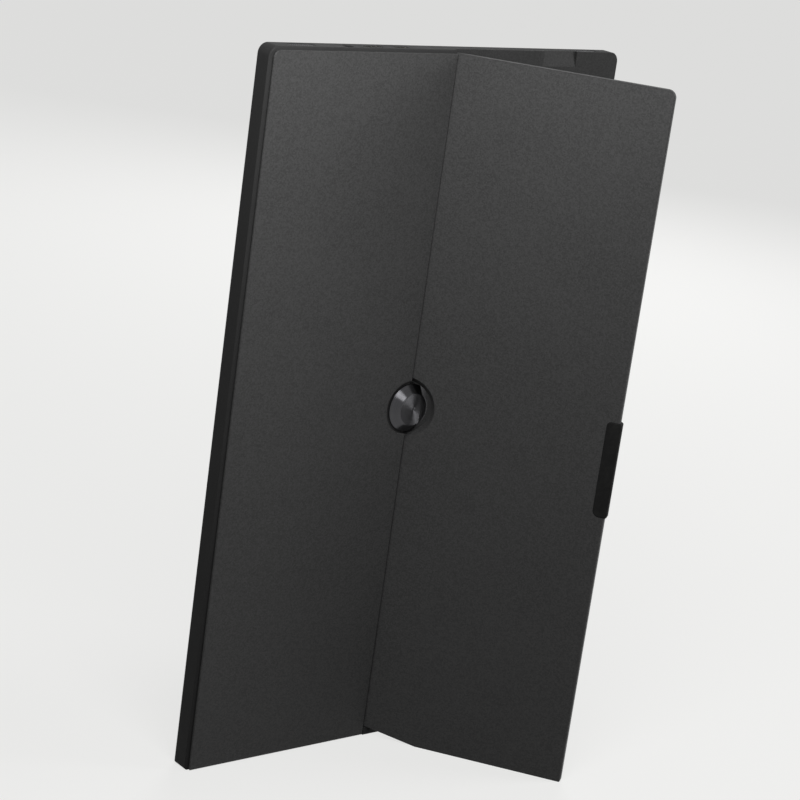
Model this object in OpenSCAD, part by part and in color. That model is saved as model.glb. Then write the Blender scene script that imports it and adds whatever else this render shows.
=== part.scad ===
// Portable monitor, standing on its short edge, with a hinged rear flap.
// X runs across the body, Y from the screen (-) to the back (+), and Z up.
// The thick half of the back is on the +X side, the flap covers the -X side.

/* [Body] */
// Length of the body, which is its height as it stands
body_len = 360; // [352:1:380]
// Width of the body
body_w = 220; // [214:1:236]
// Thickness from the screen side to the raised rear panel
body_t = 12; // [11.6:0.1:14]
// Thickness of the moulded side walls
wall = 1.6; // [1.4:0.1:2]
// Corner radius of the body at the socket end
corner_top = 5; // [3:0.5:8]
// Corner radius of the body at the end it stands on
corner_bottom = 1.5; // [1.2:0.1:3]
// Bevel round the screen side
front_bevel = 0.8; // [0.3:0.1:0.9]
// Bevel along the long side of the rear rim
rim_bevel = 0.8; // [0.5:0.1:1]
// Step from the rear panel down to the rim
rim_drop = 1.6; // [1.4:0.1:2]
// Thickness of the web between the display and the rear bays
web_t = 0.8; // [0.7:0.1:1]
// Thickness of the stiffening ribs
rib_t = 1.2; // [0.8:0.1:2]

/* [Display] */
// Border of the picture at both short ends
end_margin = 7.9; // [7.5:0.1:12]
// Border of the picture along the long edge away from the buttons
view_margin = 7.9; // [7:0.1:12]
// Border of the picture along the long edge with the buttons
button_margin = 18.5; // [18:0.1:24]
// Thickness of the bezel over the screen's border
bezel_t = 0.8; // [0.6:0.1:1]
// Width of the chassis edge that shows round the bezel
bezel_inset = 1.2; // [1:0.1:1.3]
// Thickness of the liquid crystal cell
cell_t = 1.2; // [1:0.1:1.4]
// Thickness of the diffuser sheets
sheets_t = 0.4; // [0.3:0.1:0.5]
// Thickness of the light guide
guide_t = 1.4; // [1.2:0.1:1.5]
// Thickness of the pressed steel tray
tray_t = 0.4; // [0.3:0.1:0.5]
// Distance between the diodes of the light bar
led_pitch = 8; // [7:0.5:12]

/* [Rear panel and cap] */
// Thickness of the rear panel
panel_t = 1; // [0.8:0.1:1.2]
// Distance from the body's outline to the rear panel
panel_inset = 1.6; // [1.4:0.1:2.2]
// Half of the seam between the rear panel and the flap
seam_half = 0.3; // [0.3:0.05:0.5]
// Radius of the metal cap at the panel's surface
cap_r = 12.4; // [11:0.1:13]
// Radius of the cap's flat top
cap_top_r = 8.4; // [7:0.1:10]
// Height of the cap above the rear panel
cap_h = 3.6; // [2:0.1:5]
// Gap between the cap and the rear panel round it
cap_gap = 1.4; // [1:0.1:2]
// Extra radius of the flap's cut-out round the cap
cap_clear = 0.7; // [0.6:0.1:1.2]
// Width of the bevel round the flap's cut-out
cutout_bevel = 2.4; // [1.5:0.1:2.8]

/* [Flap] */
// Thickness of the flap
flap_t = 4; // [3.9:0.1:4.2]
// Gap between the closed flap and the body
flap_gap = 0.3; // [0.25:0.05:0.4]
// Corner radius of the flap at the socket end
flap_corner = 4; // [2:0.5:6]
// Thickness of the flap's outer skin and of its inner liner
skin_t = 1; // [0.9:0.1:1.1]
// Bevel round the flap's outer face
flap_bevel = 0.6; // [0.3:0.1:0.8]
// Angle by which the flap stands open at rest
rest_open = 54; // [0:1:80]
// Length of the slanted cut at the foot of the hinge edge
slant_len = 28.5; // [26:0.1:40]
// Height of the slanted cut at the hinge edge
slant_rise = 4.8; // [3.6:0.1:5]
// Gap between the slanted cut and the fixed heel under it
heel_gap = 0.6; // [0.6:0.1:1]
// Length of the rubber foot
foot_len = 49.5; // [30:0.5:70]
// Width of the rubber foot
foot_w = 7.6; // [6.5:0.1:12]
// How far the middle of the rubber foot lies below the cap
foot_below = 11; // [-40:1:60]
// How far the rubber foot stands proud of the flap's edge and face
foot_proud = 1.2; // [0.8:0.1:1.5]

/* [Hinges] */
// Distance of each hinge's middle from its end of the body
hinge_inset = 42; // [35:1:50]
// Radius of the hinge pin
pin_r = 0.7; // [0.6:0.05:0.75]
// Running clearance of the pin in the fixed barrel
pin_run = 0.04; // [0.02:0.01:0.08]
// Wall of the hinge barrels round the pin
barrel_wall = 0.65; // [0.55:0.05:0.7]
// Length of the fixed barrel
barrel_len = 16; // [10:0.5:18]
// Length of each knuckle of the moving arm
knuckle_len = 8.8; // [6:0.2:10]
// Thickness of the fixed bracket
bracket_t = 1; // [0.8:0.1:1.1]

/* [Sockets and sound] */
// Distance of the audio socket from the seam
jack_x = 63.5; // [61:0.5:65]
// Distance of the small display socket from the seam
hdmi_x = 48.5; // [47:0.5:50]
// Distance of the data socket from the seam
usb_x = 31.5; // [29:0.5:34]
// Radius of the audio socket's bore
jack_r = 1.8; // [1.76:0.01:1.85]
// Distance of each speaker mesh from the long side
mesh_inset = 20.5; // [19:0.5:21]
// Length of the speaker mesh
mesh_len = 14.8; // [12:0.2:16]
// Height of the speaker mesh
mesh_h = 5.4; // [4.6:0.1:5.6]
// Distance between the holes of the speaker mesh
mesh_pitch = 1.1; // [1:0.05:1.3]
// Distance of the fingernail scoop from the long side
scoop_inset = 40; // [40:0.5:46]
// Length of the fingernail scoop
scoop_len = 22; // [16:0.5:22]

/* [Buttons] */
// Height of the power button
power_z = 22; // [18:1:26]
// Height of the menu button
menu_z = 42; // [40:1:44]
// Length of each button
button_len = 9; // [7:0.5:10]
// Width of each button
button_w = 3.6; // [3:0.1:4]
// Travel of each button
button_travel = 0.4; // [0.2:0.05:0.4]
// Gap round each button
button_gap = 0.15; // [0.1:0.05:0.25]

/* [Hidden] */

$fn = 64;
eps = 0.05;

// Colours
charcoal = "#4a4a4b";
moulded = "#2e2e2f";
rubber_black = "#1c1c1c";
steel = "#9a9a9c";
board_green = "#1f3d2c";

// Outline of the body: half width, and levels of its layers from front to back
hw = body_w / 2;
y_front = -body_t / 2;
y_back = body_t / 2;
y_cell = y_front + bezel_t;
y_sheets = y_cell + cell_t;
y_guide = y_sheets + sheets_t;
y_tray = y_guide + guide_t;
tray_gap = 0.2;
y_web = y_tray + tray_t + tray_gap;
y_bay = y_web + web_t;
y_flap_in = y_back - flap_t;
y_floor = y_flap_in - flap_gap;
cover_t = 0.8;
y_cover = y_floor - cover_t;
y_rim = y_back - rim_drop;
y_panel = y_back - panel_t;

// Picture, and the bay that the display lies in
view_x1 = hw - view_margin;
view_x0 = button_margin - hw;
view_z0 = end_margin;
view_z1 = body_len - end_margin;
window_lip = 0.5;
guide_lap = 1.5;
tray_lap = 2.4;
tray_margin = 0.8;
tray_hole_r = 8;
tray_holes = 6;
cell_lap = 2.5;
cell_ledge = 4;
led_flex_t = 0.3;
led_flex_w = 1.6;
led_w = 1.2;
led_len = 3.4;
led_end = 3;
chin_x0 = -hw + wall;
chin_x1 = view_x0 - guide_lap - tray_lap;

// Rear panel, the step it lies on, and the bay under it
plateau_inset = panel_inset + 0.4;
plateau_seam = seam_half + 0.3;
end_bevel = 0.4;
panel_bottom = 0.3;
bay_x0 = plateau_seam + wall;
bay_x1 = hw - plateau_inset - wall;
bay_z0 = plateau_inset + wall;
bay_z1 = body_len - plateau_inset - wall;
seam_ledge = 1.2;
rib_pitch = body_len / 8;
rib_clear = 14;

// Cap, its seat and the well round it
cap_z = body_len / 2;
cap_skirt = 0.6;
seat_r = cap_r - 0.4;
seat_top = y_back - cap_skirt;
well_r = seat_r + 0.3;
well_wall = 2.5;
panel_hole_r = cap_r + cap_gap;
cutout_r = cap_r + cap_clear;
stud_r = 2;
stud_len = 2;
cap_screw_r = 1.2;
cap_head_r = 2.5;
cap_head_h = 1.6;

// Flap in its closed place
axis_x = -(flap_t / 2 + seam_half);
axis_y = y_back - flap_t / 2;
flap_x0 = -hw + 1.6;
flap_top = body_len - panel_inset;
y_skin = y_back - skin_t;
liner_t = skin_t - 0.2;
liner_inset = 1.6;
bay_inset = 2.8;
foot_z0 = cap_z - foot_below - foot_len / 2;
foot_z1 = cap_z - foot_below + foot_len / 2;
foot_x0 = flap_x0 - foot_proud;
foot_x1 = foot_x0 + foot_w;
foot_face = 0.4;
foot_radii = [1.2, 3.4, 2.2, 1.2];

// Hinges
barrel_r = pin_r + barrel_wall;
cavity_r = barrel_r + 0.15;
hinge_zs = [hinge_inset, body_len - hinge_inset];
knuckle_gap = 0.2;
pin_end = 0.5;
unit_half = barrel_len / 2 + knuckle_gap + knuckle_len;
cavity_half = unit_half + pin_end + 0.5;
post_t = 1;
bracket_x1 = 14;
bracket_screw_x = 8;
bracket_screw_dz = 11;
bracket_screw_r = 0.9;
bracket_head_r = 1.9;
bracket_head_h = web_t - 0.2;
arm_t = 0.8;
arm_w = 22;
arm_x0 = axis_x - arm_w;
arm_screw_x = axis_x - 16;
arm_screw_dz = 11;
arm_boss_r = 2.2;
arm_screw_r = 0.8;
arm_head_r = 1.7;
arm_head_h = 0.5;
sweep_low = -115;
sweep_high = 15;
heel_drop = 0.2;
heel_fit = 0.1;

// Sockets
usb_w = 8.94;
usb_h = 3.26;
port_y = y_bay + 1;
board_y = port_y + usb_h / 2;
board_t = 1;
y_ledge = board_y + board_t + 0.1;
socket_len = 7.3;
socket_recess = 0.3;
socket_gap = 0.1;
hdmi_w = 11.2;
hdmi_h = 3.2;
jack_h = 4.2;
jack_w = 6.4;
jack_y = y_web + 0.2 + jack_h / 2;
jack_len = 12;
jack_sink = 0.6;
jack_flare = 0.9;

// Main board, with its wide part below the speaker and a neck up to the sockets
board_x0 = bracket_x1 + 2;
board_x1 = bay_x1 - 6;
board_neck_x1 = jack_x + 10;
board_len = 78;
board_z0 = body_len - board_len;
board_neck_z = body_len - 17;
board_z1 = body_len - wall - 0.3;
post_inset = 6;
post_x0 = board_x0 + post_inset;
post_x1 = board_x1 - post_inset;
board_posts = [[post_x0, board_z0 + 20], [post_x1, board_z0 + post_inset],
               [post_x1, board_neck_z - post_inset], [post_x0, board_neck_z - post_inset]];
post_r = 2.2;
board_screw_r = 0.8;
board_head_r = 1.8;
board_head_h = 0.7;
ribbon_z = board_z0 + 7;
ribbon_w = 10;
ribbon_t = 0.3;
ribbon_x1 = board_x0 + 24;
ribbon_x0 = (chin_x0 + chin_x1) / 2 + 3.5;
connector_half = 6;
chip_sizes = [14, 9, 7];
chip_x0 = board_x0 + 20;
chip_pitch = 18;
chip_z0 = board_z0 + 30;
chip_t = 1.1;
can_x0 = board_x0 + 14;
can_w = 32;
can_z0 = board_z0 + 26;
can_len = 26;
can_h = min(1.5, y_panel - board_y - board_t - 0.2);
can_wall = 0.2;
can_hole_r = 1;
can_hole_pitch = 8;

// Speakers
mesh_x = hw - mesh_inset;
scoop_x = hw - scoop_inset;
scoop_depth = 1.3;
scoop_run = 8;
scoop_lip = 0.9;
scoop_rim = 0.2;
speaker_h = 2.4;
speaker_y = y_web - 0.1 + speaker_h / 2;
speaker_len = 13;
speaker_z0 = body_len - speaker_len;
speaker_x0 = mesh_x - mesh_len / 2 + 0.5;
speaker_x1 = hw - wall - 4.4;
mesh_t = 0.8;
mesh_sink = 0.2;
mesh_edge = 0.3;
mesh_hole_r = 0.35;
mouth_h = 1.8;
mesh_row = mesh_pitch * sqrt(3) / 2;
function mesh_y(side) = (y_cell + (side > 0 ? y_rim : y_cover)) / 2;

// Magnets and the plates they hold to
magnet_w = 6;
magnet_len = 24;
magnet_t = 1.6;
magnet_x = flap_x0 + bay_inset + magnet_w / 2 + 0.4;
magnet_zs = [body_len * 0.2, body_len * 0.81];
keeper_t = 0.6;

// Buttons and their board, in the wide border of the screen side
button_x = (chin_x0 + chin_x1) / 2 + 0.4;
button_zs = [power_z, menu_z];
button_proud = 0.3;
flange_t = 0.6;
flange_lap = 0.6;
strip_w = 9;
strip_t = 1;
strip_end = 8;
y_strip = y_web - strip_t;
driver_w = 10;
driver_z0 = body_len * 0.3;
driver_z1 = body_len * 0.92;
driver_pitch = (driver_z1 - driver_z0) / 6;
driver_chip = 8;
driver_chip_w = 6;
driver_chip_h = 0.9;
flex_t = 0.2;
flex_w = 12;
flex_x0 = (chin_x0 + chin_x1) / 2 - 3.6;
switch_w = 3.6;
switch_h = 0.8;
plunger_h = 0.3;
plunger_r = 0.8;
stem_r = 1;
lens_r = 0.9;

// Corner radii, in the order of the corners: low X and Z, high X, both high, high Z
body_radii = [corner_bottom, corner_bottom, corner_top, corner_top];
thick_radii = [0, corner_bottom, corner_top, 0];
cover_radii = [corner_bottom, 0, 0, corner_top];
panel_radii = [0, 0.8, corner_top - panel_inset, 0];

// A prism along Y from level y0 to y1, drawn as X and Z
module slab(y0, y1) {
    translate([0, y1, 0]) rotate([90, 0, 0]) linear_extrude(y1 - y0) children();
}

// A prism along X, drawn as Y and Z
module along_x(x0, x1) {
    translate([x0, 0, 0]) rotate([90, 0, 90]) linear_extrude(x1 - x0) children();
}

// A round bar along Y from level y0 to y1
module bar_y(x, z, y0, y1, r, r_end = -1) {
    translate([x, y0, z]) rotate([-90, 0, 0])
        cylinder(h = y1 - y0, r1 = r, r2 = r_end < 0 ? r : r_end);
}

// A round bar along Z
module bar_z(x, y, z0, z1, r, r_end = -1) {
    translate([x, y, z0]) cylinder(h = z1 - z0, r1 = r, r2 = r_end < 0 ? r : r_end);
}

// A box between two corners
module box(x0, x1, y0, y1, z0, z1) {
    translate([x0, y0, z0]) cube([x1 - x0, y1 - y0, z1 - z0]);
}

// The sharp corner outside a radius, pointing to low X and Z
module corner_scrap(r) {
    difference() {
        translate([-eps, -eps]) square(r + eps);
        translate([r, r]) circle(r);
    }
}

// A rectangle b = [x0, x1, z0, z1] with four corner radii
module outline(b, radii) {
    difference() {
        translate([b[0], b[2]]) square([b[1] - b[0], b[3] - b[2]]);
        if (radii[0] > 0) translate([b[0], b[2]]) corner_scrap(radii[0]);
        if (radii[1] > 0) translate([b[1], b[2]]) rotate(90) corner_scrap(radii[1]);
        if (radii[2] > 0) translate([b[1], b[3]]) rotate(180) corner_scrap(radii[2]);
        if (radii[3] > 0) translate([b[0], b[3]]) rotate(270) corner_scrap(radii[3]);
    }
}

// What a 45 degree bevel takes off the edges of a slab's face at level y.
// side is 1 for a face towards the back and -1 for one towards the screen.
// edges says which edges are bevelled: low Z, high X, high Z, low X.
module edge_bevel(b, radii, y, c, side, edges = [1, 1, 1, 1]) {
    function pull(i) = radii[i] > c + eps ? radii[i] : -eps;
    cut = [[y - side * (c + eps), -eps], [y + side * eps, -eps], [y + side * eps, c + eps]];
    if (edges[0] > 0) along_x(b[0] + pull(0), b[1] - pull(1))
        translate([0, b[2]]) polygon(cut);
    if (edges[2] > 0) along_x(b[0] + pull(3), b[1] - pull(2))
        translate([0, b[3]]) mirror([0, 1]) polygon(cut);
    if (edges[1] > 0) translate([0, 0, b[2] + pull(1)])
        linear_extrude(b[3] - pull(2) - b[2] - pull(1))
            polygon([for (p = cut) [b[1] - p[1], p[0]]]);
    if (edges[3] > 0) translate([0, 0, b[2] + pull(0)])
        linear_extrude(b[3] - pull(3) - b[2] - pull(0))
            polygon([for (p = cut) [b[0] + p[1], p[0]]]);
    if (edges[0] > 0 && edges[3] > 0) bevel_corner(b[0], b[2], 1, 1, radii[0], y, c, side, 90);
    if (edges[0] > 0 && edges[1] > 0) bevel_corner(b[1], b[2], -1, 1, radii[1], y, c, side, 0);
    if (edges[2] > 0 && edges[1] > 0) bevel_corner(b[1], b[3], -1, -1, radii[2], y, c, side, -90);
    if (edges[2] > 0 && edges[3] > 0) bevel_corner(b[0], b[3], 1, -1, radii[3], y, c, side, 180);
}

// The bevel round one rounded corner, turned to its quarter by turn
module bevel_corner(x, z, dx, dz, r, y, c, side, turn) {
    if (r > c + eps) translate([x + dx * r, y, z + dz * r]) rotate([-90, 0, 0]) rotate(turn)
        rotate_extrude(angle = 90)
            polygon([[r + eps, -side * (c + eps)], [r + eps, side * eps],
                     [r - c - eps, side * eps]]);
}

// A slot with round ends, its long side along X
module stadium(x, y, w, h) {
    translate([x - w / 2 + h / 2, y - h / 2]) square([w - h, h]);
    for (s = [-1, 1]) translate([x + s * (w - h) / 2, y]) circle(h / 2);
}

// A pill with its long side along Z, seen from the screen side
module pill(x, z, w, len) {
    translate([x - w / 2, z - (len - w) / 2]) square([w, len - w]);
    for (s = [-1, 1]) translate([x, z + s * (len - w) / 2]) circle(w / 2);
}

// Turns what is drawn closed to the flap's place at rest
module opened() {
    translate([axis_x, axis_y, 0]) rotate([0, 0, -rest_open]) translate([-axis_x, -axis_y, 0])
        children();
}

body_box = [-hw, hw, 0, body_len];
thick_box = [0, hw, 0, body_len];
plateau_box = [plateau_seam, hw - plateau_inset, panel_bottom + 0.4, body_len - plateau_inset];
panel_box = [seam_half, hw - panel_inset, panel_bottom, body_len - panel_inset];
cover_box = [-hw, -0.1, 0, body_len];

// Lip of the recess cover, let into the chassis under the fingernail scoop
module scoop_lip_block() {
    box(-scoop_x - scoop_len / 2 - scoop_rim, -scoop_x + scoop_len / 2 + scoop_rim,
        y_cover - scoop_lip, y_cover + eps, body_len - scoop_run - scoop_rim, body_len);
}

// The fingernail scoop falls from the floor of the recess to the socket end
module scoop() {
    along_x(-scoop_x - scoop_len / 2, -scoop_x + scoop_len / 2)
        polygon([[y_floor + eps, body_len - scoop_run], [y_floor + eps, body_len + eps],
                 [y_floor - scoop_depth, body_len + eps], [y_floor - scoop_depth, body_len]]);
}

// Openings in the socket end of the chassis
module socket_holes() {
    top = body_len - wall - 1;
    translate([0, 0, top]) linear_extrude(wall + 2) {
        stadium(usb_x, port_y, usb_w + 2 * socket_gap, usb_h + 2 * socket_gap);
        translate([hdmi_x, board_y - hdmi_h / 2])
            hdmi_outline(hdmi_w + 2 * socket_gap, hdmi_h + 2 * socket_gap);
        for (s = [-1, 1]) stadium(s * mesh_x, speaker_y, mesh_len - 2, mouth_h);
    }
    for (s = [-1, 1]) translate([0, 0, body_len - mesh_sink - mesh_t])
        linear_extrude(mesh_t + 1) stadium(s * mesh_x, mesh_y(s), mesh_len, mesh_h);
    bar_z(jack_x, jack_y, top, body_len + 1, jack_h / 2);
    bar_z(jack_x, jack_y, body_len - jack_sink, body_len + eps, jack_h / 2,
          jack_h / 2 + jack_flare);
}

// Openings in the web, under what needs its depth
module web_windows() {
    box(jack_x - jack_w / 2 - 0.3, jack_x + jack_w / 2 + 0.3, y_web - eps,
        jack_y + jack_h / 2 + 0.1, body_len - jack_len - wall - 0.3, body_len - wall);
    box(usb_x - usb_w / 2 - 0.3, hdmi_x + hdmi_w / 2 + 0.3, y_web - eps, y_bay + eps,
        body_len - socket_recess - socket_len - 0.3, body_len - wall);
    for (s = [-1, 1]) {
        x_in = s * (speaker_x0 - 0.3);
        x_out = s * (speaker_x1 + 0.3);
        box(min(x_in, x_out), max(x_in, x_out), y_web - eps, y_cover + eps,
            speaker_z0 - 0.3, body_len - wall);
    }
    box(ribbon_x0 - 0.2, ribbon_x0 + 0.6, y_web - eps, y_bay + eps,
        ribbon_z - ribbon_w / 2 - 0.2, ribbon_z + ribbon_w / 2 + 0.2);
}

module chassis() {
    color(moulded) {
        difference() {
            union() {
                slab(y_front, y_cover) outline(body_box, body_radii);
                slab(y_cover, y_rim) outline(thick_box, thick_radii);
                slab(y_rim, y_panel) outline(plateau_box, [0, 0.5, corner_top - plateau_inset, 0]);
                slab(y_cover, y_back - heel_drop) heel_plan(0);
            }
            edge_bevel(body_box, body_radii, y_front, front_bevel, -1);
            // Small bevel round the rear rim, and the wide one along its long side
            edge_bevel(thick_box, thick_radii, y_rim, end_bevel, 1, [1, 1, 1, 0]);
            edge_bevel(thick_box, [0, 0, 0, 0], y_rim, rim_bevel, 1, [0, 1, 0, 0]);
            // Bay and rebate for the display and the bezel
            slab(y_front - eps, y_web) outline([-hw + wall, hw - wall, wall, body_len - wall],
                [0.5, 0.5, corner_top - wall, corner_top - wall]);
            slab(y_front - eps, y_cell) bezel_outline();
            // Bay of the thick half, wider below the rim than inside the step
            difference() {
                union() {
                    slab(y_bay, y_panel + eps)
                        outline([bay_x0, bay_x1, bay_z0, bay_z1], [0, 0, 2, 0]);
                    slab(y_bay, y_ledge)
                        outline([bay_x0, hw - wall, wall, body_len - wall], [0, 0.5, 3, 0]);
                }
                bar_y(0, cap_z, y_bay - eps, y_panel + 1, well_r + well_wall);
            }
            // Bay of the flap half
            difference() {
                slab(y_bay, y_cover + eps)
                    outline([-hw + wall, -seam_ledge, wall, body_len - wall], [0.5, 0, 0, 3]);
                bar_y(0, cap_z, y_bay - eps, y_panel + 1, well_r + well_wall);
                box(-scoop_x - scoop_len / 2 - wall, -scoop_x + scoop_len / 2 + wall,
                    y_bay - eps, y_cover + 1, body_len - scoop_run - wall, body_len);
            }
            // Well of the cap's seat, and the way to its screw
            bar_y(0, cap_z, y_bay, y_panel + 1, well_r);
            bar_y(0, cap_z, y_web - eps, y_bay + eps, cap_head_r + 0.5);
            scoop_lip_block();
            socket_holes();
            web_windows();
            seam_slots();
            bracket_screw_holes();
        }
        difference() {
            union() {
                for (p = board_posts) bar_y(p[0], p[1], y_web, board_y, post_r);
                for (k = [1:5]) {
                    box(bay_x0 + rib_clear, bay_x1, y_web, y_panel,
                        k * rib_pitch - rib_t / 2, k * rib_pitch + rib_t / 2);
                    box(-hw + rib_clear, -seam_ledge - rib_clear, y_web, y_cover,
                        k * rib_pitch - rib_t / 2, k * rib_pitch + rib_t / 2);
                }
            }
            for (p = board_posts) bar_y(p[0], p[1], y_bay + 0.4, board_y + eps, board_screw_r);
        }
    }
}

// Slots through the seam's wall, for the hinge brackets and the display ribbon
module seam_slots() {
    for (z = hinge_zs) {
        box(-seam_ledge - eps, bay_x0 + eps, y_bay, y_bay + bracket_t + 0.2,
            z - unit_half - 0.2, z + unit_half + 0.2);
        box(axis_x - post_t / 2 - 0.2, 0, y_bay, y_cover + eps,
            z - barrel_len / 2 - 0.2, z + barrel_len / 2 + 0.2);
    }
    box(-seam_ledge - eps, bay_x0 + eps, y_bay, y_bay + ribbon_t + 0.2,
        ribbon_z - ribbon_w / 2 - 0.2, ribbon_z + ribbon_w / 2 + 0.2);
}

module bracket_screw_holes() {
    for (z = hinge_zs, k = [-1, 0, 1]) {
        bar_y(bracket_screw_x, z + k * bracket_screw_dz, y_web - eps, y_bay + eps,
              bracket_screw_r);
        bar_y(bracket_screw_x, z + k * bracket_screw_dz, y_web - eps, y_web + bracket_head_h,
              bracket_head_r);
    }
}

module bezel_outline() {
    outline([-hw + bezel_inset, hw - bezel_inset, bezel_inset, body_len - bezel_inset],
        [0.6, 0.6, corner_top - bezel_inset, corner_top - bezel_inset]);
}

module front_bezel() {
    view_box = [view_x0, view_x1, view_z0, view_z1];
    lip = window_lip;
    color(moulded) difference() {
        slab(y_front, y_cell) bezel_outline();
        slab(y_front - eps, y_cell + eps) outline(view_box, [0, 0, 0, 0]);
        // Sloping inner edge of the window
        for (s = [0, 1]) {
            along_x(view_x0 - lip, view_x1 + lip)
                polygon([[y_front - eps, s == 0 ? view_z0 - lip : view_z1 + lip],
                         [y_front + lip, s == 0 ? view_z0 + eps : view_z1 - eps],
                         [y_front - eps, s == 0 ? view_z0 + eps : view_z1 - eps]]);
            translate([0, 0, view_z0 - lip]) linear_extrude(view_z1 - view_z0 + 2 * lip)
                polygon([[s == 0 ? view_x0 - lip : view_x1 + lip, y_front - eps],
                         [s == 0 ? view_x0 + eps : view_x1 - eps, y_front + lip],
                         [s == 0 ? view_x0 + eps : view_x1 - eps, y_front - eps]]);
        }
        for (z = button_zs) slab(y_front - eps, y_cell + eps)
            pill(button_x, z, button_w + 2 * button_gap, button_len + 2 * button_gap);
        bar_y(button_x, (power_z + menu_z) / 2, y_front - eps, y_cell + eps, lens_r);
    }
}

module lcd_cell() {
    color("#101012") slab(y_cell, y_sheets)
        outline([view_x0 - cell_ledge, view_x1 + cell_lap, view_z0 - cell_lap,
                 view_z1 + cell_lap], [0, 0, 0, 0]);
}

module picture_sheet(y0, y1) {
    slab(y0, y1) outline([view_x0 - guide_lap, view_x1 + guide_lap, view_z0 - guide_lap,
                          view_z1 + guide_lap], [0, 0, 0, 0]);
}

module diffuser_sheets() {
    color("white") picture_sheet(y_sheets, y_guide);
}

module light_guide() {
    color("#dfe8ea") picture_sheet(y_guide, y_tray);
}

module led_bar() {
    x1 = view_x0 - guide_lap - 0.2;
    led_z0 = view_z0 + led_end;
    led_count = floor((view_z1 - led_z0 - led_len - led_end) / led_pitch);
    color("#e8e2c8") {
        box(x1 - led_flex_w, x1, y_tray - led_flex_t, y_tray, view_z0, view_z1);
        for (k = [0:led_count])
            box(x1 - led_w, x1, y_guide + 0.2, y_tray - led_flex_t,
                led_z0 + k * led_pitch, led_z0 + k * led_pitch + led_len);
    }
}

module backlight_tray() {
    grown = guide_lap + tray_margin;
    rim = [view_x0 - guide_lap - tray_lap, view_x1 + grown, view_z0 - grown, view_z1 + grown];
    color(steel) difference() {
        slab(y_sheets, y_tray + tray_t) outline(rim, [1, 1, 1, 1]);
        slab(y_sheets - eps, y_tray) outline([rim[0] + tray_t, rim[1] - tray_t,
            rim[2] + tray_t, rim[3] - tray_t], [0.5, 0.5, 0.5, 0.5]);
        // Row of holes along the tray, to save weight
        for (k = [1:tray_holes]) bar_y(0, k * body_len / (tray_holes + 1), y_tray - eps,
            y_tray + tray_t + eps, tray_hole_r);
    }
}

module rear_panel() {
    color(charcoal) difference() {
        slab(y_panel, y_back) outline(panel_box, panel_radii);
        edge_bevel(panel_box, panel_radii, y_back, 0.35, 1);
        bar_y(0, cap_z, y_panel - eps, y_back + eps, panel_hole_r);
        bar_y(0, cap_z, y_back - 0.4, y_back + eps, panel_hole_r, panel_hole_r + 0.45);
    }
}

module recess_cover() {
    color(charcoal) difference() {
        union() {
            slab(y_cover, y_floor) outline(cover_box, cover_radii);
            scoop_lip_block();
        }
        slab(y_cover - 1, y_floor + eps) heel_plan(heel_fit);
        edge_bevel(cover_box, cover_radii, y_floor, 0.3, 1, [1, 0, 1, 1]);
        bar_y(0, cap_z, y_cover - eps, y_floor + eps, well_r);
        for (z = hinge_zs) box(axis_x - post_t / 2 - 0.2, axis_x + post_t / 2 + 0.2,
            y_cover - eps, y_floor + eps, z - barrel_len / 2 - 0.2, z + barrel_len / 2 + 0.2);
        scoop();
    }
}

module hinge_cap() {
    edge = 0.2;
    color(steel) difference() {
        translate([0, 0, cap_z]) rotate([-90, 0, 0]) rotate_extrude()
            polygon([[0, seat_top - stud_len], [stud_r, seat_top - stud_len],
                     [stud_r, seat_top], [cap_r - edge, seat_top], [cap_r, seat_top + edge],
                     [cap_r, y_back], [cap_top_r + edge, y_back + cap_h - edge],
                     [cap_top_r - edge, y_back + cap_h], [0, y_back + cap_h - 0.15]]);
        bar_y(0, cap_z, seat_top - stud_len - eps, seat_top - 0.4, cap_screw_r);
    }
}

module cap_seat() {
    color(moulded) difference() {
        bar_y(0, cap_z, y_bay, seat_top, seat_r);
        bar_y(0, cap_z, seat_top - stud_len, seat_top + eps, stud_r);
        bar_y(0, cap_z, y_bay - eps, seat_top, cap_screw_r);
        bar_y(0, cap_z, y_bay - eps, y_bay + cap_head_h + 0.4, cap_head_r + 0.2);
    }
}

module cap_screw() {
    head_y = y_bay + 0.4;
    color(steel) {
        bar_y(0, cap_z, head_y, head_y + cap_head_h, cap_head_r);
        bar_y(0, cap_z, head_y + cap_head_h, seat_top - 0.4, cap_screw_r);
    }
}

module main_board() {
    color(board_green) difference() {
        slab(board_y, board_y + board_t) {
            translate([board_x0, board_z0])
                square([board_x1 - board_x0, board_neck_z - board_z0]);
            translate([board_x0, board_neck_z])
                square([board_neck_x1 - board_x0, board_z1 - board_neck_z]);
        }
        // Notch that the audio socket drops into
        box(jack_x - jack_w / 2, jack_x + jack_w / 2, board_y - eps, board_y + board_t + eps,
            body_len - wall - jack_len, body_len);
        for (p = board_posts)
            bar_y(p[0], p[1], board_y - eps, board_y + board_t + eps, board_screw_r);
    }
}

module board_chips() {
    color("#18181a") for (k = [0:2]) {
        x = chip_x0 + k * chip_pitch;
        box(x, x + chip_sizes[k], board_y - chip_t, board_y, chip_z0, chip_z0 + chip_sizes[k]);
    }
}

module shield_can() {
    y0 = board_y + board_t;
    color(steel) difference() {
        box(can_x0, can_x0 + can_w, y0, y0 + can_h, can_z0, can_z0 + can_len);
        box(can_x0 + can_wall, can_x0 + can_w - can_wall, y0 - eps, y0 + can_h - can_wall,
            can_z0 + can_wall, can_z0 + can_len - can_wall);
        for (k = [1:3]) bar_y(can_x0 + can_hole_pitch * k, can_z0 + can_len / 2, y0,
            y0 + can_h + eps, can_hole_r);
    }
}

module board_connector() {
    color("#d8d0bc") box(ribbon_x1 - connector_half, ribbon_x1 + connector_half,
        y_bay + ribbon_t, board_y, ribbon_z - ribbon_w / 2 - 1, ribbon_z + ribbon_w / 2 + 1);
}

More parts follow.
